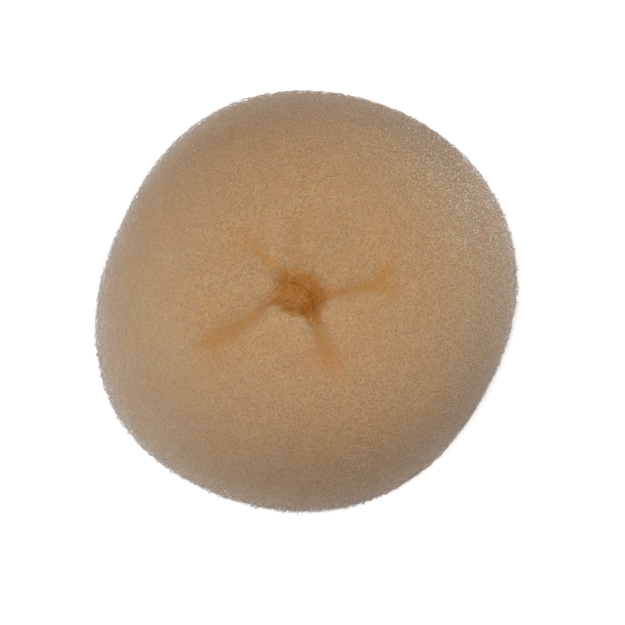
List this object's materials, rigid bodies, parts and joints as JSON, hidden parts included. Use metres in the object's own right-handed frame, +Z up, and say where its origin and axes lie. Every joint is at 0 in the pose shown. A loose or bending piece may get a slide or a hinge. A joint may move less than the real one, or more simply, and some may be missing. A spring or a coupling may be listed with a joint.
{
  "type": "foam hair donut",
  "caption": "Thick soft foam ring for shaping a hair bun, with a pinched hole and pleats running out from it over the crown.",
  "frame": {"origin": "on the flat underside, below the middle of the bounding box; the hole's axis stands 0.16 mm from it towards -X and 0.05 mm towards -Y", "axes": "+Z up out of the crown, along the hole; +X to the right of the picture and +Y towards its top"},
  "size_m": [0.0904, 0.0912, 0.038],
  "materials": {
    "foam": "matt open-cell foam, beige, with fine pores and a faint sparkle of broken cell walls"
  },
  "bodies": {
    "root": {"donut_ring": "foam"}
  },
  "joints": []
}
